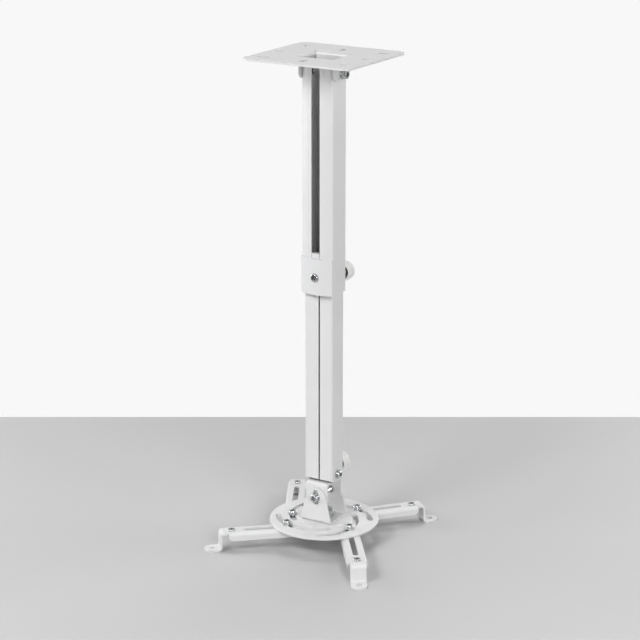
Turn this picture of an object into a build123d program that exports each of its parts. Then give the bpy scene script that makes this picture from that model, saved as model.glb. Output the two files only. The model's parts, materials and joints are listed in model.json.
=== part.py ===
from build123d import *
from math import cos, radians, sin
import os

os.makedirs("parts", exist_ok=True)

# The frame: origin at the middle of the ceiling face, +Z up, X along the two
# ceiling ears, -Y the slotted front of the pole. All sizes in millimetres.

# Fits and clearances
run_gap = 0.3  # side gap between two pieces that move past each other
bolt_play = 0.3  # radial gap round a plain shank in its hole
end_flat = 0.2  # flat left in the middle of a strip's full round end

# Overall
total_height = 500.0  # floor under the feet to the ceiling face, as stood

# Ceiling plate
plate_x = 120.0
plate_y = 114.0
plate_t = 2.0
plate_corner_r = 9.0
plate_bend_r = 2.5  # centre line of the ear bends
plate_slot_l = 12.0
plate_slot_w = 6.0
side_slot_x = 48.5
side_slot_y = 37.0
corner_slot_x = 44.0
corner_slot_y = 38.5
opening_y = 38.5
ear_y = 31.0
ear_drop = 22.5
ear_corner_r = 6.0
hinge_drop = 16.5  # ceiling face down to the hinge bolts

# Poles
outer_x = 35.4
outer_y = 25.3  # depth of the flat sides
outer_bow = 4.4  # bow of the front beyond the flat sides
pole_t = 1.2
pole_corner_r = 2.2
outer_top_drop = 1.8  # ceiling face down to the top of the outer pole
outer_len = 233.6
pole_slot_w = 9.4
pole_overlap = 41.5  # length of the inner pole inside the outer one
seam_w = 1.6
seam_x = 0.8

# Cap over the foot of the outer pole
cap_h = 37.0
cap_t = 1.8
tongue_rise = 5.0  # cap top up to the end of its tongue in the slot
cap_screw_rise = 17.5  # foot of the outer pole up to the cap screw
cap_spot_r = 4.5
cap_spot_depth = 0.75

# Thumb knobs
knob_rise = 11.2  # foot of the outer pole up to the upper knob
knob_r = 9.8
knob_l = 11.0
knob_edge_r = 1.0
knob_hollow_r = 7.6
knob_hollow_l = 7.5
knob_boss_r = 4.5
stud_r = 3.0
stud_in_knob = 8.5
weld_nut_af = 10.0
weld_nut_l = 4.0
upper_knob_y = 33.0  # near face of each knob from the pole's axis
lower_knob_y = 26.0

# Saddle under the inner pole
bracket_t = 2.0
bracket_bend_r = 2.5
saddle_x = 24.6
saddle_flange_drop = 25.5  # saddle top down to the ends of its flanges
saddle_flange_r = 6.0
tab_y = 14.0
tab_bend_r = 2.0
pitch_rise = 7.8  # saddle top up to the pitch bolt
pole_foot_drop = 5.4  # pitch bolt down to the foot of the inner pole
sleeve_r = 5.5

# Yoke on the disc
yoke_x = 35.0
yoke_y = 34.0
yoke_skirt = 4.0
arch_r = 11.3
arch_rise = 26.5
roll_rise = 27.0  # yoke base up to the roll screws
saddle_rise = 15.7  # roll screws up to the saddle top
roll_slot_l = 15.8
index_w = 3.0
index_depth = 1.0

# Disc
disc_r = 56.0
disc_t = 2.5
disc_edge_r = 0.8
boss_r = 27.0
boss_h = 0.5
arc_slot_w = 6.0
arc_centre_r = 10.3  # each arc slot is struck from a point off the disc's middle
arc_centre_angle = -13.0
arc_r = 39.8
arc_start = 33.0
arc_sweep = 107.0
quarter = 90.0

# Arms
arm_x = 20.0
arm_t = 2.0
arm_bend_r = 2.0
flange_h = 8.0
flange_end_r = 4.5
flange_past = 4.0  # end screw out to the ends of the flanges
arm_slot_w = 5.6
slot_to_end_screw = 14.2
slot_to_inner_end = 5.8
strip_x = 15.8
leg_past = 11.7  # end screw out to the middle of the leg
leg_bend_r = 3.0
arm_drop = 17.5  # web top down to foot top
foot_hole_past = 20.4
foot_hole_r = 3.0
short_arm = 74.0  # inner end to end screw
long_arm = 101.0
left_reach = 57.0  # clamp screw to end screw
front_reach = 73.0
right_reach = 60.3
back_reach = 94.8

# Where each arm stands: its slot counted in quarter turns, the angle of its
# clamp screw round that slot's own centre, the heading of the arm, its reach
# and its length
arms = {
    "left": (2, 71.5, 221.5, left_reach, short_arm),
    "front": (3, 87.0, -53.4, front_reach, long_arm),
    "right": (0, 79.0, 49.5, right_reach, short_arm),
    "back": (1, 120.0, 119.0, back_reach, long_arm),
}

# Fasteners
m4_r = 2.0
m5_r = 2.5
cap_head_r = 4.25
cap_head_h = 5.0
pitch_head_r = 3.8
pitch_head_h = 2.8
pan_head_r = 4.3
pan_head_h = 3.2
pan_edge_r = 1.4
low_head_r = 4.2
low_head_h = 1.4
low_edge_r = 0.8
washer_r = 5.0
washer_t = 1.0
round_nut_r = 4.0
round_nut_h = 1.5
roll_tip = 9.5  # saddle flange in to the tip of a roll screw
m5_nut_af = 8.0
m5_nut_h = 4.0
thin_nut_h = 2.4
m4_nut_af = 7.0
m4_nut_h = 3.2
thread_past = 1.0  # thread that shows beyond a nut
channel_nut_l = 12.0
channel_nut_h = 4.0
swivel_r = 5.0
swivel_head_r = 8.0
swivel_head_h = 3.0
swivel_washer_r = 10.0
swivel_washer_t = 2.0
swivel_nut_af = 17.0
swivel_nut_h = 5.0

# Heights that follow from the sizes above
z_web = -total_height + arm_t + arm_drop
z_disc = z_web + disc_t
z_yoke = z_disc + boss_h
z_roll = z_yoke + roll_rise
z_saddle = z_roll + saddle_rise
z_pitch = z_saddle + pitch_rise
z_inner = z_pitch - pole_foot_drop
z_outer = -outer_top_drop - outer_len
z_cap_screw = z_outer + cap_screw_rise
z_knob = z_outer + knob_rise
inner_len = z_outer + pole_overlap - z_inner

# Widths that follow from the sizes above
ear_in = outer_x / 2 + run_gap
inner_x = outer_x - 2 * (pole_t + run_gap)
inner_y = outer_y - 2 * (pole_t + run_gap)
cap_seat = -outer_y / 2 - outer_bow - cap_t + cap_spot_depth
tab_out = inner_x / 2 - pole_t - run_gap
yoke_in = yoke_y / 2 - bracket_t
saddle_out = yoke_in - run_gap
saddle_in = saddle_out - bracket_t


def rod(base, axis, r, length):
    """A round bar standing on base along axis."""
    return extrude(Plane(origin=base, z_dir=axis) * Circle(r), length)


def hexagon(base, x_dir, axis, across_flats, length):
    """A hexagon bar with two corners on x_dir."""
    face = RegularPolygon(across_flats / 2, 6, major_radius=False)
    return extrude(Plane(origin=base, x_dir=x_dir, z_dir=axis) * face, length)


def nut(base, x_dir, axis, across_flats, height, bore_r):
    """A plain hexagon nut."""
    return hexagon(base, x_dir, axis, across_flats, height) - rod(base, axis, bore_r, height)


def washer(base, axis, r, bore_r, thickness):
    """A flat washer."""
    return rod(base, axis, r, thickness) - rod(base, axis, bore_r, thickness)


def round_edge(solid, axis, r, which):
    """The last round edge of a head along axis, rounded."""
    edges = solid.edges().filter_by(GeomType.CIRCLE).group_by(axis)[which]
    return fillet(edges, r)


def fold(plane, points, thickness, bend_r, width):
    """A strip of sheet bent along a centre line drawn in plane."""
    line = FilletPolyline(*points, radius=bend_r)
    return extrude(plane * trace(line, thickness), width / 2, both=True)


def save(name, *solids):
    """One STEP file; a group keeps its pieces as separate solids."""
    whole = solids[0] if len(solids) == 1 else Compound([s.solid() for s in solids])
    export_step(whole, f"parts/{name}.step")


def ceiling_plate():
    """The plate with its fixing slots and the two ears folded from its opening."""
    bend_start = ear_in + plate_t / 2 + plate_bend_r
    flat = RectangleRounded(plate_x, plate_y, plate_corner_r)
    flat -= Rectangle(2 * bend_start, opening_y)
    for side in (-1, 1):
        flat -= Pos(side * side_slot_x, 0) * SlotOverall(plate_slot_l, plate_slot_w)
        flat -= Pos(0, side * side_slot_y) * SlotOverall(plate_slot_l, plate_slot_w, rotation=90)
        for end in (-1, 1):
            to_middle = Vector(side * corner_slot_x, end * corner_slot_y).get_signed_angle(
                Vector(1, 0, 0), Vector(0, 0, -1)
            )
            slot = SlotOverall(plate_slot_l, plate_slot_w, rotation=to_middle)
            flat -= Pos(side * corner_slot_x, end * corner_slot_y) * slot
    plate = Pos(0, 0, -plate_t) * extrude(flat, plate_t)
    for side in (-1, 1):
        ear_x = side * (ear_in + plate_t / 2)
        joined_x = side * (bend_start + plate_t)
        line = [(joined_x, -plate_t / 2), (ear_x, -plate_t / 2), (ear_x, -ear_drop)]
        ear = fold(Plane.XZ, line, plate_t, plate_bend_r, ear_y)
        ear = fillet(ear.edges().filter_by(Axis.X).group_by(Axis.Z)[0], ear_corner_r)
        plate += ear
    across = ear_in + plate_t
    return plate - rod((-across, 0, -hinge_drop), (1, 0, 0), m5_r, 2 * across)


def ceiling_fastener(side):
    """One hinge bolt, its washer outside the ear and its nut inside the pole."""
    axis = (side, 0, 0)
    seat = ear_in + plate_t + washer_t
    inside = outer_x / 2 - pole_t - run_gap - m5_nut_h
    bolt = rod((side * seat, 0, -hinge_drop), axis, cap_head_r, cap_head_h)
    bolt += rod((side * (inside - thread_past), 0, -hinge_drop), axis, m5_r, seat - inside + thread_past)
    ring = washer((side * (seat - washer_t), 0, -hinge_drop), axis, washer_r, m5_r, washer_t)
    inner_nut = nut((side * inside, 0, -hinge_drop), (0, 1, 0), axis, m5_nut_af, m5_nut_h, m5_r)
    return bolt, ring, inner_nut


def bowed_outline():
    """The outer pole's outside section: flat back and sides, bowed front."""
    x = outer_x / 2
    y = outer_y / 2
    sides = Polyline((-x, -y), (-x, y), (x, y), (x, -y))
    bow = ThreePointArc((x, -y), (0, -y - outer_bow), (-x, -y))
    return fillet(make_face(sides + bow).vertices(), pole_corner_r)


def wall(outline):
    """The sheet inside a pole's outline."""
    return outline - offset(outline, -pole_t)


def front_strip(x, width):
    """A strip from a pole's axis out past its front."""
    return Pos(x, -outer_y) * Rectangle(width, 2 * outer_y)


def outer_pole():
    """The fixed pole with its front slot and holes for the hinge bolts and the clamp stud."""
    section = wall(bowed_outline()) - front_strip(0, pole_slot_w)
    pole = Pos(0, 0, z_outer) * extrude(section, outer_len)
    pole -= rod((-outer_x, 0, -hinge_drop), (1, 0, 0), m5_r + bolt_play, 2 * outer_x)
    return pole - rod((0, 0, z_knob), (0, 1, 0), stud_r + bolt_play, outer_y)


def pole_cap():
    """The bowed cap over the outer pole's foot, with a tongue that fills the pole's slot."""
    x = outer_x / 2
    y = outer_y / 2
    sides = Polyline((-x, -y - cap_t), (-x, -y), (x, -y), (x, -y - cap_t))
    bow = ThreePointArc((x, -y - cap_t), (0, -y - outer_bow - cap_t), (-x, -y - cap_t))
    shell = make_face(sides + bow) - bowed_outline()
    tongue = wall(bowed_outline()) & front_strip(0, pole_slot_w - 2 * run_gap)
    cap = extrude(shell + tongue, cap_h) + extrude(tongue, cap_h + tongue_rise)
    cap = Pos(0, 0, z_outer) * cap
    cap -= rod((0, cap_seat, z_cap_screw), (0, -1, 0), cap_spot_r, cap_t)
    return cap - rod((0, cap_seat, z_cap_screw), (0, 1, 0), m4_r, cap_t + pole_t)


def cap_screw():
    """The screw through the cap and its tongue, short of the inner pole."""
    tip = -inner_y / 2 - run_gap
    head = rod((0, cap_seat, z_cap_screw), (0, -1, 0), low_head_r, low_head_h + cap_spot_depth)
    head = round_edge(head, Axis.Y, pan_edge_r, 0)
    return head + rod((0, cap_seat, z_cap_screw), (0, 1, 0), m4_r, tip - cap_seat)


def weld_nut(face_y, z):
    """A nut welded on the back of a pole round the clamp stud's hole."""
    return nut((0, face_y, z), (1, 0, 0), (0, 1, 0), weld_nut_af, weld_nut_l, stud_r + bolt_play)


def knob(near_y, z):
    """A thumb knob, hollow toward the pole round a middle boss."""
    body = rod((0, near_y, z), (0, 1, 0), knob_r, knob_l)
    body = round_edge(body, Axis.Y, knob_edge_r, -1)
    body -= rod((0, near_y, z), (0, 1, 0), knob_hollow_r, knob_hollow_l)
    body += rod((0, near_y, z), (0, 1, 0), knob_boss_r, knob_hollow_l)
    return body - rod((0, near_y, z), (0, 1, 0), stud_r, stud_in_knob)


def stud(tip_y, near_y, z):
    """The clamp stud from its tip to its seat in the knob."""
    return rod((0, tip_y, z), (0, 1, 0), stud_r, near_y + stud_in_knob - tip_y)


def inner_pole():
    """The sliding pole with holes for the pitch bolt and the lower stud."""
    section = wall(RectangleRounded(inner_x, inner_y, pole_corner_r)) - front_strip(seam_x, seam_w)
    pole = Pos(0, 0, z_inner) * extrude(section, inner_len)
    pole -= rod((-inner_x, 0, z_pitch), (1, 0, 0), m5_r, 2 * inner_x)
    return pole - rod((0, 0, z_pitch), (0, 1, 0), stud_r + bolt_play, inner_y)


def pitch_bolt():
    """The bolt through the inner pole, with two washers and a thin nut."""
    side = inner_x / 2
    seat = side + washer_t
    bolt = rod((seat, 0, z_pitch), (1, 0, 0), pitch_head_r, pitch_head_h)
    end = seat + thin_nut_h
    bolt += rod((-end, 0, z_pitch), (1, 0, 0), m5_r, end + seat)
    rings = [washer((s * side, 0, z_pitch), (s, 0, 0), washer_r, m5_r, washer_t) for s in (-1, 1)]
    far_nut = nut((-seat, 0, z_pitch), (0, 1, 0), (-1, 0, 0), m5_nut_af, thin_nut_h, m5_r)
    return bolt, rings, far_nut


def saddle():
    """The bracket under the inner pole: two flanges down, two tabs up into the pole."""
    flange_y = saddle_out - bracket_t / 2
    web_z = z_saddle - bracket_t / 2
    low = z_saddle - saddle_flange_drop
    line = [(-flange_y, low), (-flange_y, web_z), (flange_y, web_z), (flange_y, low)]
    body = fold(Plane.YZ, line, bracket_t, bracket_bend_r, saddle_x)
    body = fillet(body.edges().filter_by(Axis.Y).group_by(Axis.Z)[0], saddle_flange_r)
    for side in (-1, 1):
        tab_x = side * (tab_out - bracket_t / 2)
        root_x = side * (tab_out - bracket_t / 2 - 2 * tab_bend_r)
        line = [(root_x, web_z), (tab_x, web_z), (tab_x, z_pitch + tab_y / 2)]
        tab = fold(Plane.XZ, line, bracket_t, tab_bend_r, tab_y)
        body += fillet(tab.edges().filter_by(Axis.X).group_by(Axis.Z)[-1], (tab_y - end_flat) / 2)
    body -= rod((-tab_out, 0, z_pitch), (1, 0, 0), m5_r + bolt_play, 2 * tab_out)
    return body - rod((0, -saddle_out, z_roll), (0, 1, 0), m5_r + bolt_play, 2 * saddle_out)


def pitch_sleeve():
    """The spacer between the saddle's tabs that the lower stud bears on."""
    half = tab_out - bracket_t
    return washer((-half, 0, z_pitch), (1, 0, 0), sleeve_r, m5_r + bolt_play, 2 * half)


def roll_fastener(side):
    """One roll screw, its washer outside the yoke and its low round nut inside the saddle."""
    axis = (0, side, 0)
    seat = yoke_y / 2 + washer_t
    tip = saddle_in - roll_tip
    head = rod((0, side * seat, z_roll), axis, pan_head_r, pan_head_h)
    head = round_edge(head, Axis.Y, pan_edge_r, -1 if side > 0 else 0)
    screw = head + rod((0, side * tip, z_roll), axis, m5_r, seat - tip)
    ring = washer((0, side * (seat - washer_t), z_roll), axis, washer_r, m5_r, washer_t)
    low_nut = washer((0, side * (saddle_in - round_nut_h), z_roll), axis, round_nut_r, m5_r, round_nut_h)
    return screw, ring, low_nut


def yoke():
    """The bracket on the disc: two arched ears with upright slots."""
    ear_line = yoke_y / 2 - bracket_t / 2
    base_z = z_yoke + bracket_t / 2
    top = z_yoke + arch_rise + arch_r
    line = [(-ear_line, top), (-ear_line, base_z), (ear_line, base_z), (ear_line, top)]
    body = fold(Plane.YZ, line, bracket_t, bracket_bend_r, yoke_x)
    foot = Pos(0, yoke_skirt / 2) * Rectangle(yoke_x, yoke_skirt)
    arch = Pos(0, arch_rise) * Circle(arch_r)
    outline = make_hull(foot.edges() + arch.edges())
    body &= Pos(0, 0, z_yoke) * extrude(Plane.XZ * outline, yoke_y, both=True)
    slot = Pos(0, roll_rise) * SlotOverall(roll_slot_l, 2 * (m5_r + bolt_play), rotation=90)
    body -= Pos(0, 0, z_yoke) * extrude(Plane.XZ * slot, yoke_y, both=True)
    for side in (-1, 1):
        body -= Pos(side * yoke_x / 2, 0, z_yoke) * Box(2 * index_depth, index_w, 4 * bracket_t)
    return body - rod((0, 0, z_yoke), (0, 0, 1), swivel_r, bracket_t)


def swivel_fastener():
    """The swivel bolt with a flat head under the disc, a washer and a thin nut."""
    seat = z_yoke + bracket_t
    top = seat + swivel_washer_t + swivel_nut_h
    bolt = rod((0, 0, z_web - swivel_head_h), (0, 0, 1), swivel_head_r, swivel_head_h)
    bolt = round_edge(bolt, Axis.Z, swivel_head_h / 2, 0)
    bolt += rod((0, 0, z_web), (0, 0, 1), swivel_r, top + thread_past - z_web)
    ring = washer((0, 0, seat), (0, 0, 1), swivel_washer_r, swivel_r, swivel_washer_t)
    top_nut = nut((0, 0, seat + swivel_washer_t), (1, 0, 0), (0, 0, 1), swivel_nut_af, swivel_nut_h, swivel_r)
    return bolt, ring, top_nut


def arc_centre(turns):
    """The point that an arc slot is struck from, in plan."""
    angle = radians(arc_centre_angle + quarter * turns)
    return arc_centre_r * cos(angle), arc_centre_r * sin(angle)


def disc():
    """The disc with four arc slots, each a quarter turn from the last."""
    flat = Circle(disc_r)
    for turns in range(4):
        line = CenterArc(arc_centre(turns), arc_r, arc_start + quarter * turns, arc_sweep)
        flat -= SlotArc(line, arc_slot_w)
    plate = Pos(0, 0, z_web) * extrude(flat, disc_t)
    rim = plate.edges().filter_by(GeomType.CIRCLE).sort_by(SortBy.RADIUS)[-2:]
    plate = fillet(rim, disc_edge_r)
    plate += rod((0, 0, z_web), (0, 0, 1), boss_r, disc_t + boss_h)
    return plate - rod((0, 0, z_web), (0, 0, 1), swivel_r + bolt_play, disc_t + boss_h)


def arm(reach, length):
    """An arm along +X with its clamp screw at the origin and its web top on z = 0."""
    side = arm_x / 2 - arm_t / 2
    line = [(-side, -flange_h), (-side, -arm_t / 2), (side, -arm_t / 2), (side, -flange_h)]
    run = length + flange_past
    body = fold(Plane.YZ, line, arm_t, arm_bend_r, run)
    body = Pos(reach + flange_past - run / 2, 0, 0) * body
    body = fillet(body.edges().filter_by(Axis.Y).group_by(Axis.Z)[0], flange_end_r)
    leg = reach + leg_past
    foot_z = -arm_drop - arm_t / 2
    tip = reach + foot_hole_past + strip_x / 2
    line = [(reach, -arm_t / 2), (leg, -arm_t / 2), (leg, foot_z), (tip, foot_z)]
    strip = fold(Plane.XZ, line, arm_t, leg_bend_r, strip_x)
    body += fillet(strip.edges().filter_by(Axis.Z).group_by(Axis.X)[-1], (strip_x - end_flat) / 2)
    slot_out = reach - slot_to_end_screw
    slot_in = reach - length + slot_to_inner_end
    slot = Pos((slot_out + slot_in) / 2, 0) * SlotCenterToCenter(slot_out - slot_in, arm_slot_w)
    body -= extrude(slot, -2 * arm_t)
    body -= rod((reach, 0, 0), (0, 0, -1), m4_r, 2 * arm_t)
    return body - rod((reach + foot_hole_past, 0, 0), (0, 0, -1), foot_hole_r, arm_drop + 2 * arm_t)


def end_fastener(reach):
    """The screw and nut near an arm's outer end."""
    head = round_edge(rod((reach, 0, 0), (0, 0, 1), low_head_r, low_head_h), Axis.Z, low_edge_r, -1)
    screw = head + rod((reach, 0, 0), (0, 0, -1), m4_r, arm_t + m4_nut_h + thread_past)
    under = nut((reach, 0, -arm_t), (1, 0, 0), (0, 0, -1), m4_nut_af, m4_nut_h, m4_r)
    return screw, under


def clamp_fastener():
    """An arm's clamp screw, its washer on the disc and its nut in the arm's channel."""
    seat = disc_t + washer_t
    head = round_edge(rod((0, 0, seat), (0, 0, 1), pan_head_r, pan_head_h), Axis.Z, pan_edge_r, -1)
    below = arm_t + channel_nut_h + thread_past
    screw = head + rod((0, 0, seat), (0, 0, -1), m5_r, seat + below)
    ring = washer((0, 0, disc_t), (0, 0, 1), washer_r, m5_r, washer_t)
    width = arm_x - 2 * arm_t - 2 * run_gap
    block = Pos(0, 0, -arm_t - channel_nut_h / 2) * Box(channel_nut_l, width, channel_nut_h)
    block = fillet(block.edges().filter_by(Axis.X).group_by(Axis.Z)[-1], arm_bend_r)
    block -= rod((0, 0, -arm_t), (0, 0, -1), m5_r + bolt_play, channel_nut_h)
    return screw, ring, block


bolts, rings, nuts = zip(*(ceiling_fastener(side) for side in (-1, 1)))
save("ceiling_plate", ceiling_plate())
save("ceiling_bolts", *bolts)
save("ceiling_washers", *rings)
save("ceiling_nuts", *nuts)

save("outer_pole", outer_pole())
save("pole_cap", pole_cap())
save("cap_screw", cap_screw())
save("collar_nut", weld_nut(outer_y / 2, z_knob))
save("collar_knob", knob(upper_knob_y, z_knob))
save("collar_stud", stud(inner_y / 2 + run_gap, upper_knob_y, z_knob))

bolt, rings, far_nut = pitch_bolt()
save("inner_pole", inner_pole())
save("pitch_bolt", bolt)
save("pitch_washers", *rings)
save("pitch_nut", far_nut)
save("lower_nut", weld_nut(inner_y / 2, z_pitch))
save("lower_knob", knob(lower_knob_y, z_pitch))
save("lower_stud", stud(sleeve_r + run_gap, lower_knob_y, z_pitch))

screws, rings, nuts = zip(*(roll_fastener(side) for side in (-1, 1)))
save("saddle", saddle())
save("pitch_sleeve", pitch_sleeve())
save("roll_screws", *screws)
save("roll_washers", *rings)
save("roll_nuts", *nuts)

bolt, ring, top_nut = swivel_fastener()
save("yoke", yoke())
save("swivel_bolt", bolt)
save("swivel_washer", ring)
save("swivel_nut", top_nut)
save("disc", disc())

for name, (turns, along, heading, reach, length) in arms.items():
    x, y = arc_centre(turns)
    angle = radians(along + quarter * turns)
    place = Pos(x + arc_r * cos(angle), y + arc_r * sin(angle), z_web) * Rot(0, 0, heading)
    screw, ring, block = clamp_fastener()
    end_screw, end_nut = end_fastener(reach)
    save(f"arm_{name}", place * arm(reach, length))
    save(f"clamp_screw_{name}", place * screw)
    save(f"clamp_washer_{name}", place * ring)
    save(f"arm_nut_{name}", place * block)
    save(f"end_screw_{name}", place * end_screw)
    save(f"end_nut_{name}", place * end_nut)
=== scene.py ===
import bmesh
import bpy
import json
from math import pi, radians
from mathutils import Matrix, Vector


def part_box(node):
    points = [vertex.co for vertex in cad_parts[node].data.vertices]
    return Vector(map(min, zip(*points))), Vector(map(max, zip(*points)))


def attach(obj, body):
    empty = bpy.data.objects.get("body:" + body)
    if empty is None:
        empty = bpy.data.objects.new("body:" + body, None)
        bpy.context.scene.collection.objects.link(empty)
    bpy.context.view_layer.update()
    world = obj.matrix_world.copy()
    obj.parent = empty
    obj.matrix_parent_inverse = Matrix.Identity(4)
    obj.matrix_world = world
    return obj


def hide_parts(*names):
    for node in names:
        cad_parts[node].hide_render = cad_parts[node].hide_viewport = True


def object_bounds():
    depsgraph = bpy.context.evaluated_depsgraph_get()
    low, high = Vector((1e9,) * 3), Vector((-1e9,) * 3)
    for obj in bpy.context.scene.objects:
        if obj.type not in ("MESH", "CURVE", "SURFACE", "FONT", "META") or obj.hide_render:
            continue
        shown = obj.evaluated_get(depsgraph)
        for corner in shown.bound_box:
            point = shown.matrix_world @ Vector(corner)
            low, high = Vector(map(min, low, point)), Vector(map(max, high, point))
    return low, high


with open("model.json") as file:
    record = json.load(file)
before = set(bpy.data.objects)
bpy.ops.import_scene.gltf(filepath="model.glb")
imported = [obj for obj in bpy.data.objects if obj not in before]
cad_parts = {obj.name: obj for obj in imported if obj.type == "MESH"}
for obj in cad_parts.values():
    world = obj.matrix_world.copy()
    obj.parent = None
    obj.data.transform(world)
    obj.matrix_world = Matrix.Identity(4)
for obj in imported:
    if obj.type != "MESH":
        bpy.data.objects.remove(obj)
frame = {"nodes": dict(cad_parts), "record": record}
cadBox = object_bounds()
nodes = frame["nodes"]
bodyOf = {n: body for body, names in frame["record"]["behaviour"]["bodies"].items() for n in names}
slotOf = {s["node"]: s["material_slot"] for s in frame["record"]["subparts"]}
mm = 0.001
print("frame: nodes", len(nodes))


def linear(hexColour):
    values = [int(hexColour[i:i + 2], 16) / 255 for i in (1, 3, 5)]
    return (*(v / 12.92 if v <= 0.04045 else ((v + 0.055) / 1.055) ** 2.4 for v in values), 1.0)


# An input may be a value, a socket, a node (for its first output), a sum such as ("ADD", a, b),
# or a list of these for a socket that joins
def addNode(tree, kind, inputs=(), **settings):
    node = tree.nodes.new(kind)
    for name, value in settings.items():
        setattr(node, name, value)
    for key, value in dict(inputs).items():
        for part in value if isinstance(value, list) else [value]:
            if isinstance(part, tuple) and isinstance(part[0], str):
                part = addNode(tree, "ShaderNodeMath", dict(enumerate(part[1:])), operation=part[0])
            if isinstance(part, bpy.types.Node):
                part = part.outputs[0]
            if isinstance(part, bpy.types.NodeSocket):
                tree.links.new(part, node.inputs[key])
            else:
                node.inputs[key].default_value = part
    return node


def startMaterial(name):
    material = bpy.data.materials.new(name)
    material.use_nodes = True
    tree = material.node_tree
    shader = tree.nodes["Principled BSDF"]
    place = addNode(tree, "ShaderNodeTexCoord").outputs["Object"]
    return material, tree, shader, place


def addGrain(tree, shader, place, look):  # a fine pattern that varies the gloss and stands out a little
    grain = addNode(tree, "ShaderNodeTexNoise", {
        "Vector": place, "Scale": 1 / (look["grainSize"] * mm), "Detail": look["grainDetail"]}).outputs["Fac"]
    gloss = addNode(tree, "ShaderNodeMapRange", {
        "Value": grain, "To Min": look["roughness"] - look["glossSpread"],
        "To Max": look["roughness"] + look["glossSpread"]})
    bump = addNode(tree, "ShaderNodeBump", {
        "Height": grain, "Distance": look["grainDepth"] * mm, "Strength": 1.0})
    tree.links.new(gloss.outputs["Result"], shader.inputs["Roughness"])
    tree.links.new(bump.outputs["Normal"], shader.inputs["Normal"])
    return grain


# Painted shade: mixes a colour towards a dark nook colour where ambient occlusion finds surfaces close by, so
# recesses and hollows are shaded in the colour itself
def paintNookShade(tree, look, unshadedColour):
    paintedNookShade = addNode(tree, "ShaderNodeAmbientOcclusion", {"Distance": look["nookReach"] * mm},
                   samples=look["nookSamples"], only_local=look["ownNooksOnly"])
    unshadedShare = addNode(tree, "ShaderNodeMapRange", {
        "Value": paintedNookShade.outputs["AO"], "From Min": look["nookDark"], "From Max": look["nookUnshaded"]})
    return addNode(tree, "ShaderNodeMix", {
        "Factor": unshadedShare, 6: linear(look["paintedNookShade"]), 7: unshadedColour}, data_type="RGBA").outputs[2]


# Polyester powder coat on steel, sprayed and baked: satin white with a faint orange peel
powderCoat = {
    "colour": "#E7E7E7", "shade": "#E1E1E1", "cloudSize": 45.0, "cloudDetail": 2.0,
    "roughness": 0.42, "glossSpread": 0.05, "ior": 1.5,
    "grainSize": 1.1, "grainDepth": 0.012, "grainDetail": 1.0,
}  # mm


def makePowderCoat(look):
    material, tree, shader, place = startMaterial("whitePowderCoat")
    cloud = addNode(tree, "ShaderNodeTexNoise", {
        "Vector": place, "Scale": 1 / (look["cloudSize"] * mm), "Detail": look["cloudDetail"]}).outputs["Fac"]
    tone = addNode(tree, "ShaderNodeMix", {
        "Factor": cloud, 6: linear(look["colour"]), 7: linear(look["shade"])}, data_type="RGBA")
    tree.links.new(tone.outputs[2], shader.inputs["Base Color"])
    addGrain(tree, shader, place, look)
    shader.inputs["IOR"].default_value = look["ior"]
    return material


# Bright zinc plate on steel screws: bare metal, slightly streaked by the plating bath, with painted shade
# darkening the recesses
zincPlate = {
    "colour": "#DADBDC", "shade": "#C4C6C8", "roughness": 0.22, "glossSpread": 0.08,
    "grainSize": 1.6, "grainDepth": 0.004, "grainDetail": 3.0,
    # the nook entries set the painted shade in recesses: its colour, reach and ambient-occlusion limits
    "paintedNookShade": "#1C1C1B", "nookReach": 1.6, "nookDark": 0.2, "nookUnshaded": 0.6,
    "nookSamples": 8, "ownNooksOnly": False,
}  # mm


def makeZincPlate(look):
    material, tree, shader, place = startMaterial("brightZincPlate")
    streak = addGrain(tree, shader, place, look)
    tone = addNode(tree, "ShaderNodeMix", {
        "Factor": streak, 6: linear(look["colour"]), 7: linear(look["shade"])}, data_type="RGBA")
    # painted shade: the base colour darkens in recesses by ambient occlusion
    tree.links.new(paintNookShade(tree, look, tone.outputs[2]), shader.inputs["Base Color"])
    shader.inputs["Metallic"].default_value = 1.0
    return material


# White ABS, injection moulded in a spark-eroded tool: a fine even matt grain, with painted shade inside the
# knobs' hollows and other nooks
knobPlastic = {
    "name": "mouldedAbs", "colour": "#F6F6F5", "roughness": 0.5, "glossSpread": 0.06, "ior": 1.54,
    "grainSize": 0.5, "grainDepth": 0.008, "grainDetail": 2.0,  # grain drawn coarse to show
    # the nook entries set the painted shade inside hollows: its colour, reach and ambient-occlusion limits
    "paintedNookShade": "#3A3A39", "nookReach": 6.0, "nookDark": 0.2, "nookUnshaded": 0.55,
    "nookSamples": 8, "ownNooksOnly": True,
}  # mm
capPlastic = {**knobPlastic, "name": "mouldedAbsCap", "colour": "#E4E4E5"}


def makeMouldedPlastic(look):
    material, tree, shader, place = startMaterial(look["name"])
    addGrain(tree, shader, place, look)
    # painted shade: the colour darkens inside hollows by ambient occlusion of the piece itself
    tone = paintNookShade(tree, look, linear(look["colour"]))
    tree.links.new(tone, shader.inputs["Base Color"])
    shader.inputs["IOR"].default_value = look["ior"]
    return material


finishes = {
    "powder_coat": makePowderCoat(powderCoat),
    "zinc_steel": makeZincPlate(zincPlate),
    "white_plastic": makeMouldedPlastic(knobPlastic),
}
finishOf = {name: finishes[slotOf[name]] for name in nodes}
finishOf["pole_cap"] = makeMouldedPlastic(capPlastic)
for name, node in nodes.items():
    node.data.materials.clear()
    node.data.materials.append(finishOf[name])
print("materials", len({finish.name for finish in finishOf.values()}))

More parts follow.
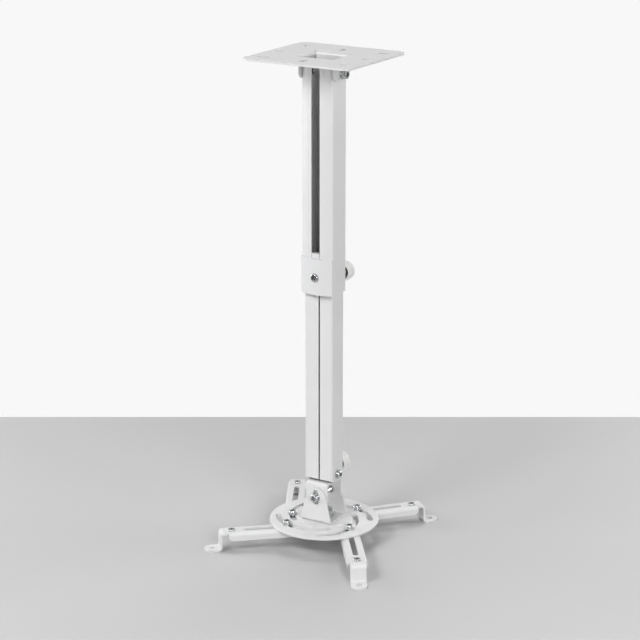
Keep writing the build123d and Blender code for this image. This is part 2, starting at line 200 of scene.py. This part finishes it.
# Sheet and moulded pieces with the soft edges that paint and moulding leave
softEdges = {
    "ceiling_plate": 0.35, "outer_pole": 0.3, "inner_pole": 0.3, "saddle": 0.4, "yoke": 0.4, "disc": 0.3,
    "arm_left": 0.35, "arm_front": 0.35, "arm_right": 0.35, "arm_back": 0.35, "pole_cap": 0.4,
    "arm_nut_left": 0.4, "arm_nut_front": 0.4, "arm_nut_right": 0.4, "arm_nut_back": 0.4,
}  # mm of rounding
softening = {"flatAngle": 0.6, "edgeAngle": 32.0, "segments": 3, "weld": 0.002}  # degrees, mm


def addPiece(mesh, name, replaced):
    piece = bpy.data.objects.new(name, mesh)
    bpy.context.collection.objects.link(piece)
    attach(piece, bodyOf[replaced])
    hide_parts(replaced)
    return piece


def plainMesh(worker, name):
    graph = bpy.context.evaluated_depsgraph_get()
    mesh = bpy.data.meshes.new_from_object(worker.evaluated_get(graph))
    mesh.name = name
    bpy.data.objects.remove(worker)
    return mesh


def softenNode(name, rounding):
    shape = bmesh.new()
    shape.from_mesh(nodes[name].data)
    bmesh.ops.remove_doubles(shape, verts=shape.verts, dist=softening["weld"] * mm)
    bmesh.ops.dissolve_limit(
        shape, angle_limit=radians(softening["flatAngle"]), verts=shape.verts, edges=shape.edges)
    mesh = bpy.data.meshes.new(name + "Soft")
    shape.to_mesh(mesh)
    shape.free()
    if "custom_normal" in mesh.attributes:
        mesh.attributes.remove(mesh.attributes["custom_normal"])
    mesh.materials.append(finishOf[name])
    worker = bpy.data.objects.new(name + "Worker", mesh)
    bpy.context.collection.objects.link(worker)
    bevel = worker.modifiers.new("edges", "BEVEL")
    bevel.width = rounding * mm
    bevel.segments = softening["segments"]
    bevel.limit_method = "ANGLE"
    bevel.angle_limit = radians(softening["edgeAngle"])
    worker.modifiers.new("normals", "WEIGHTED_NORMAL")
    for face in mesh.polygons:
        face.use_smooth = True
    return addPiece(plainMesh(worker, name + "Soft"), name + "_soft", name)


softPieces = {name: softenNode(name, rounding) for name, rounding in softEdges.items()}
print("soft edges", len(softEdges))

# Node trees for the fasteners and knobs. Their named inputs are in metres, the dictionaries further on in mm.
facets = {"around": 48, "edge": 5, "ringEdge": 3, "threadTurn": 24, "ridge": 4, "bore": 32, "rib": 8}
hexagon = {"sides": 6, "flatsToCorner": 3 ** 0.5}  # width across flats over the corner radius
nutTurning = {"width": 0.66, "height": 0.8}  # half axes of the egg that rounds a nut, as shares of its size
weldGap = 0.001 * mm


def startTree(name, sizes):
    tree = bpy.data.node_groups.new(name, "GeometryNodeTree")
    tree.interface.new_socket(name="Points", in_out="INPUT", socket_type="NodeSocketGeometry")
    tree.interface.new_socket(name="Finish", in_out="INPUT", socket_type="NodeSocketMaterial")
    for size in sizes:
        kind = "NodeSocketInt" if size.endswith("Count") else "NodeSocketFloat"
        tree.interface.new_socket(name=size, in_out="INPUT", socket_type=kind)
    tree.interface.new_socket(name="Pieces", in_out="OUTPUT", socket_type="NodeSocketGeometry")
    return tree, addNode(tree, "NodeGroupInput").outputs


def lift(tree, geometry, height, turn=(0, 0, 0)):
    offset = addNode(tree, "ShaderNodeCombineXYZ", {"Z": height})
    return addNode(tree, "GeometryNodeTransform", {
        "Geometry": geometry, "Translation": offset, "Rotation": turn})


def turned(tree, radius, height, edge):  # solid of revolution on z = 0, its upper edge rounded
    outline = addNode(tree, "GeometryNodeCurvePrimitiveQuadrilateral", {"Width": radius, "Height": height})
    spot = addNode(tree, "ShaderNodeSeparateXYZ", {0: addNode(tree, "GeometryNodeInputPosition")})
    upperOuter = ("MULTIPLY", ("GREATER_THAN", spot.outputs["X"], 0.0),
                  ("LESS_THAN", spot.outputs["Y"], 0.0))
    rounded = addNode(tree, "GeometryNodeFilletCurve", {
        "Curve": outline, "Count": facets["edge"], "Radius": ("MULTIPLY", upperOuter, edge)}, mode="POLY")
    path = addNode(tree, "GeometryNodeCurvePrimitiveCircle", {
        "Resolution": facets["around"], "Radius": ("MULTIPLY", radius, 0.5)})
    swept = addNode(tree, "GeometryNodeCurveToMesh", {"Curve": path, "Profile Curve": rounded})
    merged = addNode(tree, "GeometryNodeMergeByDistance", {"Geometry": swept, "Distance": weldGap})
    faceless = addNode(tree, "FunctionNodeCompare", {
        2: addNode(tree, "GeometryNodeInputMeshEdgeNeighbors"), 3: 0}, data_type="INT", operation="EQUAL")
    solid = addNode(tree, "GeometryNodeDeleteGeometry", {
        "Geometry": merged, "Selection": faceless}, domain="EDGE")
    return lift(tree, solid, ("MULTIPLY", height, 0.5))


def ringOf(tree, outer, bore, height, edge):  # ring on z = 0 with all edges rounded
    outline = addNode(tree, "GeometryNodeCurvePrimitiveQuadrilateral", {
        "Width": ("SUBTRACT", outer, bore), "Height": height})
    rounded = addNode(tree, "GeometryNodeFilletCurve", {
        "Curve": outline, "Count": facets["ringEdge"], "Radius": edge}, mode="POLY")
    path = addNode(tree, "GeometryNodeCurvePrimitiveCircle", {
        "Resolution": facets["around"], "Radius": ("MULTIPLY", ("ADD", outer, bore), 0.5)})
    swept = addNode(tree, "GeometryNodeCurveToMesh", {"Curve": path, "Profile Curve": rounded})
    return lift(tree, swept, ("MULTIPLY", height, 0.5))


def threaded(tree, radius, length, pitch):  # screw thread hanging below z = 0
    depth = ("MULTIPLY", pitch, 0.5)
    coreR = ("SUBTRACT", radius, depth)
    rise = ("SUBTRACT", length, pitch)
    core = turned(tree, coreR, length, depth)
    coil = addNode(tree, "GeometryNodeCurveSpiral", {
        "Resolution": facets["threadTurn"], "Rotations": ("DIVIDE", rise, pitch),
        "Start Radius": coreR, "End Radius": coreR, "Height": rise})
    upright = addNode(tree, "GeometryNodeSetCurveNormal", {"Curve": coil}, mode="Z_UP")
    ridge = addNode(tree, "GeometryNodeCurvePrimitiveCircle", {
        "Resolution": facets["ridge"], "Radius": depth})
    helix = addNode(tree, "GeometryNodeCurveToMesh", {
        "Curve": upright, "Profile Curve": ridge, "Fill Caps": True})
    low = ("MULTIPLY", ("SUBTRACT", length, depth), -1.0)
    return addNode(tree, "GeometryNodeJoinGeometry", {
        0: [lift(tree, core, 0.0, (pi, 0, 0)), lift(tree, helix, low)]})


def cut(tree, solid, *tools):
    carved = addNode(tree, "GeometryNodeMeshBoolean", {
        "Mesh 1": solid, "Mesh 2": list(tools)}, operation="DIFFERENCE", solver="EXACT")
    return addNode(tree, "GeometryNodeMergeByDistance", {"Geometry": carved, "Distance": weldGap})


def finishTree(tree, inputs, *solids):  # one copy at each point, turned to its axis and spun about it
    joined = addNode(tree, "GeometryNodeJoinGeometry", {0: list(solids)})
    axis = addNode(tree, "GeometryNodeInputNamedAttribute", {"Name": "axis"}, data_type="FLOAT_VECTOR")
    spin = addNode(tree, "GeometryNodeInputNamedAttribute", {"Name": "spin"}, data_type="FLOAT")
    turn = addNode(tree, "FunctionNodeAlignRotationToVector", {"Vector": axis}, axis="Z")
    copies = addNode(tree, "GeometryNodeInstanceOnPoints", {
        "Points": inputs["Points"], "Instance": joined, "Rotation": turn})
    spun = addNode(tree, "GeometryNodeRotateInstances", {
        "Instances": copies, "Rotation": addNode(tree, "ShaderNodeCombineXYZ", {"Z": spin}),
        "Local Space": True})
    real = addNode(tree, "GeometryNodeRealizeInstances", {"Geometry": spun})
    smooth = addNode(tree, "GeometryNodeSetShadeSmooth", {
        "Geometry": real, "Shade Smooth": True}, domain="FACE")
    angle = addNode(tree, "GeometryNodeInputMeshEdgeAngle").outputs["Unsigned Angle"]
    sharp = addNode(tree, "FunctionNodeCompare", {
        0: angle, 1: radians(softening["edgeAngle"])}, data_type="FLOAT", operation="GREATER_THAN")
    edged = addNode(tree, "GeometryNodeSetShadeSmooth", {
        "Geometry": smooth, "Selection": sharp, "Shade Smooth": False}, domain="EDGE")
    faced = addNode(tree, "GeometryNodeSetMaterial", {"Geometry": edged, "Material": inputs["Finish"]})
    addNode(tree, "NodeGroupOutput", {"Pieces": faced})
    return tree


def makeScrewTree(recess):
    sizes = ["headR", "headH", "edgeR", "shankR", "shankL", "pitch", "recessW", "recessL", "recessD"]
    tree, size = startTree(recess + "Screw", sizes)
    head = turned(tree, size["headR"], size["headH"], size["edgeR"])
    deep = ("MULTIPLY", size["recessD"], 2.0)
    if recess == "cross":
        wing = addNode(tree, "ShaderNodeCombineXYZ", {"X": size["recessL"], "Y": size["recessW"], "Z": deep})
        bar = addNode(tree, "GeometryNodeMeshCube", {"Size": wing})
        across = lift(tree, bar, size["headH"], (0, 0, pi / 2))
        head = cut(tree, head, lift(tree, bar, size["headH"]), across)
    if recess == "hex":
        well = addNode(tree, "GeometryNodeMeshCylinder", {
            "Vertices": hexagon["sides"], "Depth": deep,
            "Radius": ("DIVIDE", size["recessW"], hexagon["flatsToCorner"])})
        head = cut(tree, head, lift(tree, well, size["headH"]))
    return finishTree(tree, size, head, threaded(tree, size["shankR"], size["shankL"], size["pitch"]))


def makeRingTree():
    tree, size = startTree("turnedRing", ["outerR", "boreR", "height", "edgeR"])
    return finishTree(tree, size, ringOf(tree, size["outerR"], size["boreR"], size["height"], size["edgeR"]))


def makeNutTree():  # hexagon with the corners turned off, as on a bar lathe
    tree, size = startTree("hexNut", ["acrossFlats", "height", "boreR"])
    prism = addNode(tree, "GeometryNodeMeshCylinder", {
        "Vertices": hexagon["sides"], "Depth": size["height"],
        "Radius": ("DIVIDE", size["acrossFlats"], hexagon["flatsToCorner"])})
    ball = addNode(tree, "GeometryNodeMeshUVSphere", {
        "Segments": facets["around"], "Rings": facets["bore"], "Radius": 1.0})
    wide = ("MULTIPLY", size["acrossFlats"], nutTurning["width"])
    tall = ("MULTIPLY", size["height"], nutTurning["height"])
    egg = addNode(tree, "GeometryNodeTransform", {
        "Geometry": ball, "Scale": addNode(tree, "ShaderNodeCombineXYZ", {"X": wide, "Y": wide, "Z": tall})})
    blank = addNode(tree, "GeometryNodeMeshBoolean", {
        "Mesh 2": [prism, egg]}, operation="INTERSECT", solver="EXACT")
    bore = addNode(tree, "GeometryNodeMeshCylinder", {
        "Vertices": facets["bore"], "Radius": size["boreR"], "Depth": ("MULTIPLY", size["height"], 2.0)})
    return finishTree(tree, size, lift(tree, cut(tree, blank, bore), ("MULTIPLY", size["height"], 0.5)))


def makeStudTree():
    tree, size = startTree("threadedStud", ["shankR", "shankL", "pitch"])
    return finishTree(tree, size, threaded(tree, size["shankR"], size["shankL"], size["pitch"]))


def makeKnobTree():
    sizes = ["knobR", "knobL", "edgeR", "hollowR", "hollowL", "hollowEdgeR", "bossR", "ribR", "ribShort",
             "ribCount"]
    tree, size = startTree("knurledKnob", sizes)
    rim = ("SUBTRACT", size["knobR"], size["ribR"])
    body = turned(tree, rim, size["knobL"], size["edgeR"])
    hollowH = ("MULTIPLY", size["hollowL"], 2.0)
    hollow = ringOf(tree, size["hollowR"], size["bossR"], hollowH, size["hollowEdgeR"])
    body = cut(tree, body, lift(tree, hollow, ("MULTIPLY", size["hollowL"], -1.0)))
    rib = addNode(tree, "GeometryNodeMeshCylinder", {
        "Vertices": facets["rib"], "Radius": size["ribR"],
        "Depth": ("SUBTRACT", size["knobL"], size["ribShort"])})
    circle = addNode(tree, "GeometryNodeMeshCircle", {"Vertices": size["ribCount"], "Radius": rim})
    ribs = addNode(tree, "GeometryNodeInstanceOnPoints", {
        "Points": circle, "Instance": lift(tree, rib, ("MULTIPLY", size["knobL"], 0.5))})
    return finishTree(tree, size, body, ribs)


trees = {
    "cross": makeScrewTree("cross"), "hex": makeScrewTree("hex"), "plain": makeScrewTree("plain"),
    "ring": makeRingTree(), "nut": makeNutTree(), "stud": makeStudTree(), "knob": makeKnobTree(),
}


def seatOf(node, axis, back):  # the point on a node's axis that lies back mm inside its outer end
    low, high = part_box(node)
    half = (high - low) / 2
    axis = Vector(axis)
    return (low + high) / 2 + axis * (abs(half.dot(axis)) - back * mm)


def dressNode(node, kind, sizes, axes, back, spin=0.0):
    points = bpy.data.meshes.new(node + "Points")
    points.from_pydata([seatOf(node, axis, back) for axis in axes], [], [])
    axisData = points.attributes.new("axis", "FLOAT_VECTOR", "POINT").data
    axisData.foreach_set("vector", [v for axis in axes for v in axis])
    spinData = points.attributes.new("spin", "FLOAT", "POINT").data
    spinData.foreach_set("value", [radians(spin)] * len(axes))
    worker = bpy.data.objects.new(node + "Worker", points)
    bpy.context.collection.objects.link(worker)
    tree = trees[kind]
    maker = worker.modifiers.new("maker", "NODES")
    maker.node_group = tree
    for item in tree.interface.items_tree:
        if item.in_out == "INPUT" and item.name in sizes:
            value = sizes[item.name]
            maker[item.identifier] = value if item.name.endswith("Count") else value * mm
        if item.name == "Finish":
            maker[item.identifier] = finishOf[node]
    addPiece(plainMesh(worker, node + "Made"), node + "_made", node)


left, right, front, rear, up, down = (-1, 0, 0), (1, 0, 0), (0, -1, 0), (0, 1, 0), (0, 0, 1), (0, 0, -1)
armNames = ("left", "front", "right", "back")

# Hinge bolts of the ceiling ears: socket heads, washers outside, nuts inside the pole
hingeBolt = {"headR": 4.25, "headH": 5.0, "edgeR": 0.5, "shankR": 2.5, "shankL": 9.8, "pitch": 0.8,
             "recessW": 4.4, "recessD": 3.0}
m5Washer = {"outerR": 5.0, "boreR": 2.5, "height": 1.0, "edgeR": 0.22}
m5Nut = {"acrossFlats": 8.0, "height": 4.0, "boreR": 2.3}
dressNode("ceiling_bolts", "hex", hingeBolt, (left, right), hingeBolt["headH"])
dressNode("ceiling_washers", "ring", m5Washer, (left, right), m5Washer["height"])
dressNode("ceiling_nuts", "nut", m5Nut, (left, right), m5Nut["height"])

# Cap screw with a cross recess
capScrew = {"headR": 4.2, "headH": 2.15, "edgeR": 1.4, "shankR": 2.0, "shankL": 6.0, "pitch": 0.7,
            "recessW": 0.95, "recessL": 4.6, "recessD": 1.3}
capRecessTurn = 35  # degrees
dressNode("cap_screw", "cross", capScrew, (front,), capScrew["headH"], capRecessTurn)

# Pitch bolt: a domed socket head on a washer, thin nut on the far side, sleeve inside the pole
pitchBolt = {"headR": 3.8, "headH": 2.8, "edgeR": 2.2, "shankR": 2.5, "shankL": 36.8, "pitch": 0.8,
             "recessW": 3.0, "recessD": 1.6}
thinNut = {"acrossFlats": 8.0, "height": 2.4, "boreR": 2.3}
pitchSleeve = {"outerR": 5.5, "boreR": 2.8, "height": 25.4, "edgeR": 0.4}
dressNode("pitch_bolt", "hex", pitchBolt, (right,), pitchBolt["headH"])
dressNode("pitch_washers", "ring", m5Washer, (left, right), m5Washer["height"])
dressNode("pitch_nut", "nut", thinNut, (left,), thinNut["height"])
dressNode("pitch_sleeve", "ring", pitchSleeve, (right,), pitchSleeve["height"])

# Thumb knobs with a knurled rim, their studs and the nuts welded on the poles
thumbKnob = {"knobR": 9.8, "knobL": 11.0, "edgeR": 1.0, "hollowR": 7.6, "hollowL": 7.5, "hollowEdgeR": 0.3,
             "bossR": 4.5, "ribR": 0.42, "ribShort": 1.6, "ribCount": 48}
knobStud = {"shankR": 3.0, "pitch": 1.0}
weldNut = {"acrossFlats": 10.0, "height": 4.0, "boreR": 3.3}
for name in ("collar", "lower"):
    low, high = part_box(name + "_stud")
    dressNode(name + "_knob", "knob", thumbKnob, (rear,), thumbKnob["knobL"])
    dressNode(name + "_stud", "stud", {**knobStud, "shankL": (high.y - low.y) / mm}, (rear,), 0.0)
    dressNode(name + "_nut", "nut", weldNut, (rear,), weldNut["height"])

# Roll screws through the yoke's upright slots into low round nuts
rollScrew = {"headR": 4.3, "headH": 3.2, "edgeR": 1.4, "shankR": 2.5, "shankL": 14.8, "pitch": 0.8,
             "recessW": 1.1, "recessL": 5.0, "recessD": 1.9}
rollRecessTurn = 25  # degrees
roundNut = {"outerR": 4.0, "boreR": 2.5, "height": 1.5, "edgeR": 0.35}
dressNode("roll_screws", "cross", rollScrew, (front, rear), rollScrew["headH"], rollRecessTurn)
dressNode("roll_washers", "ring", m5Washer, (front, rear), m5Washer["height"])
dressNode("roll_nuts", "ring", roundNut, (front, rear), roundNut["height"])

# Swivel bolt with a flat head under the disc, washer and thin nut in the yoke
swivelBolt = {"headR": 8.0, "headH": 3.0, "edgeR": 1.5, "shankR": 5.0, "shankL": 13.0, "pitch": 1.25}
swivelWasher = {"outerR": 10.0, "boreR": 5.0, "height": 2.0, "edgeR": 0.4}
swivelNut = {"acrossFlats": 17.0, "height": 5.0, "boreR": 4.7}
dressNode("swivel_bolt", "plain", swivelBolt, (down,), swivelBolt["headH"])
dressNode("swivel_washer", "ring", swivelWasher, (up,), swivelWasher["height"])
dressNode("swivel_nut", "nut", swivelNut, (up,), swivelNut["height"])

# Clamp screws on washers, and the low end screws with their nuts, on every arm
clampScrew = {"headR": 4.3, "headH": 3.2, "edgeR": 1.4, "shankR": 2.5, "shankL": 10.5, "pitch": 0.8,
              "recessW": 1.1, "recessL": 5.0, "recessD": 1.9}
endScrew = {"headR": 4.2, "headH": 1.4, "edgeR": 0.8, "shankR": 2.0, "shankL": 6.2, "pitch": 0.7,
            "recessW": 1.0, "recessL": 4.4, "recessD": 1.0}
m4Nut = {"acrossFlats": 7.0, "height": 3.2, "boreR": 1.85}
clampRecessTurn = {"left": 20, "front": 65, "right": 40, "back": 5}  # degrees
endRecessTurn = {"left": 50, "front": 95, "right": 70, "back": 35}
for name in armNames:
    dressNode("clamp_screw_" + name, "cross", clampScrew, (up,), clampScrew["headH"], clampRecessTurn[name])
    dressNode("clamp_washer_" + name, "ring", m5Washer, (up,), m5Washer["height"])
    dressNode("end_screw_" + name, "cross", endScrew, (up,), endScrew["headH"], endRecessTurn[name])
    dressNode("end_nut_" + name, "nut", m4Nut, (down,), m4Nut["height"])
print("fasteners and knobs made")

# The camera of the photograph, found by fitting the plate, disc and feet
camera = {"lens": 114.81, "sensor": 36.0, "place": (1012.0, -1662.8, 331.4), "aim": (-3.63, -2.22, -265.98),
          "near": 50.0, "far": 50000.0}  # mm
photo = {"size": 640, "floorLine": 417}  # px, and the row where the floor ends


def placeAimed(thing, place):
    thing.location = Vector(place) * mm
    thing.rotation_euler = (Vector(camera["aim"]) - Vector(place)).to_track_quat("-Z", "Y").to_euler()


def placeCamera(setup):
    data = bpy.data.cameras.new("photoCamera")
    data.lens = setup["lens"]
    data.sensor_width = setup["sensor"]
    data.clip_start = setup["near"] * mm
    data.clip_end = setup["far"] * mm
    view = bpy.data.objects.new("photoCamera", data)
    bpy.context.collection.objects.link(view)
    placeAimed(view, setup["place"])
    bpy.context.scene.camera = view


placeCamera(camera)

# A pale paper floor that ends behind the mount, and a white room
floorLook = {"colour": "#CDCDCD", "roughness": 0.6, "grainSize": 2.0, "grainDepth": 0.02,
             "width": 1700.0, "depth": 1000.0}  # mm
roomLook = {"seen": 0.95, "wall": 0.72, "dark": 0.04, "fill": 0.01, "wallWay": (-0.52, 0.85, 0.0),
            "wallFull": 0.6}
display = {"transform": "Standard", "gamma": 0.8}  # deep shadows, as the photograph has them


def makeLevelTree():  # keeps the paper under the lowest foot, however the mount is set
    tree, size = startTree("paperLevel", [])
    arms = [addNode(tree, "GeometryNodeObjectInfo", {
        "Object": softPieces["arm_" + name]}, transform_space="RELATIVE") for name in armNames]
    feet = addNode(tree, "GeometryNodeJoinGeometry", {0: [arm.outputs["Geometry"] for arm in arms]})
    box = addNode(tree, "GeometryNodeBoundBox", {"Geometry": feet})
    level = addNode(tree, "ShaderNodeSeparateXYZ", {0: box.outputs["Min"]}).outputs["Z"]
    addNode(tree, "NodeGroupOutput", {"Pieces": lift(tree, size["Points"], level)})
    return tree


def floorCorners(look):  # the far edge lies where the photograph's floor line meets the floor
    place = Vector(camera["place"]) * mm
    ahead = (Vector(camera["aim"]) - Vector(camera["place"])).normalized()
    focal = camera["lens"] / camera["sensor"] * photo["size"]
    side = ahead.cross(Vector(up)).normalized()
    downward = ahead.cross(side).normalized()
    ray = ahead * focal + downward * (photo["floorLine"] - photo["size"] / 2)
    far = place + ray * ((cadBox[0].z - place.z) / ray.z)
    out = Vector((ahead.x, ahead.y, 0)).normalized()
    half = side * look["width"] * mm / 2
    near = far - out * look["depth"] * mm
    return far - half, far + half, near + half, near - half


def makeFloor(look):
    mesh = bpy.data.meshes.new("studioFloor")
    mesh.from_pydata([(c.x, c.y, 0.0) for c in floorCorners(look)], [], [(0, 3, 2, 1)])
    material, tree, shader, spot = startMaterial("studioPaper")
    shader.inputs["Base Color"].default_value = linear(look["colour"])
    shader.inputs["Roughness"].default_value = look["roughness"]
    grain = addNode(tree, "ShaderNodeTexNoise", {"Vector": spot, "Scale": 1 / (look["grainSize"] * mm)})
    bump = addNode(tree, "ShaderNodeBump", {
        "Height": grain.outputs["Fac"], "Distance": look["grainDepth"] * mm})
    tree.links.new(bump.outputs["Normal"], shader.inputs["Normal"])
    under = addNode(tree, "ShaderNodeNewGeometry").outputs["Backfacing"]  # the paper hides nothing from below
    oneSided = addNode(tree, "ShaderNodeMixShader", {
        0: under, 1: shader, 2: addNode(tree, "ShaderNodeBsdfTransparent")})
    tree.links.new(oneSided.outputs[0], tree.nodes["Material Output"].inputs["Surface"])
    mesh.materials.append(material)
    floor = bpy.data.objects.new("studioFloor", mesh)
    bpy.context.collection.objects.link(floor)
    floor.modifiers.new("level", "NODES").node_group = makeLevelTree()


def makeRoom(look):  # white to the eye, one bright wall in reflections, little fill
    world = bpy.data.worlds.new("whiteRoom")
    bpy.context.scene.world = world
    world.use_nodes = True
    tree = world.node_tree
    back = tree.nodes["Background"]
    path = addNode(tree, "ShaderNodeLightPath")
    way = addNode(tree, "ShaderNodeTexCoord").outputs["Generated"]
    facing = addNode(tree, "ShaderNodeVectorMath", {0: way, 1: look["wallWay"]}, operation="DOT_PRODUCT")
    wall = addNode(tree, "ShaderNodeMapRange", {
        "Value": facing.outputs["Value"], "From Max": look["wallFull"],
        "To Min": look["dark"], "To Max": look["wall"]})
    mirrored = addNode(tree, "ShaderNodeMix", {
        "Factor": path.outputs["Is Glossy Ray"], 2: look["fill"], 3: wall}, data_type="FLOAT")
    strength = addNode(tree, "ShaderNodeMix", {
        "Factor": path.outputs["Is Camera Ray"], 2: mirrored, 3: look["seen"]}, data_type="FLOAT")
    tree.links.new(strength.outputs[0], back.inputs["Strength"])
    back.inputs["Color"].default_value = (1, 1, 1, 1)


# Softboxes round the mount, aimed at the same point as the camera
softboxes = {
    "front": {"place": (-200, -1500, 900), "size": 700, "power": 13.4},
    "leftHigh": {"place": (-800, -1100, 900), "size": 900, "power": 6.2},
    "left": {"place": (-1200, -300, -100), "size": 800, "power": 5.8},
    "farLeft": {"place": (-2063, 178, 486), "size": 1500, "power": 4.8},
    "frontRight": {"place": (1000, -900, 100), "size": 800, "power": 10.4},
    "backRight": {"place": (900, 700, 300), "size": 800, "power": 5.0},
    "behind": {"place": (100, 1500, -150), "size": 900, "power": 5.5},
    "top": {"place": (-300, 600, 1300), "size": 1000, "power": 9.6},
}  # mm, W


def makeSoftbox(name, look):
    data = bpy.data.lights.new(name, "AREA")
    data.shape = "DISK"
    data.size = look["size"] * mm
    data.energy = look["power"]
    lamp = bpy.data.objects.new(name, data)
    bpy.context.collection.objects.link(lamp)
    placeAimed(lamp, look["place"])
    lamp.visible_camera = False


makeFloor(floorLook)
makeRoom(roomLook)
for name, look in softboxes.items():
    makeSoftbox(name, look)
bpy.context.scene.view_settings.view_transform = display["transform"]
bpy.context.scene.view_settings.gamma = display["gamma"]
print("studio ready")
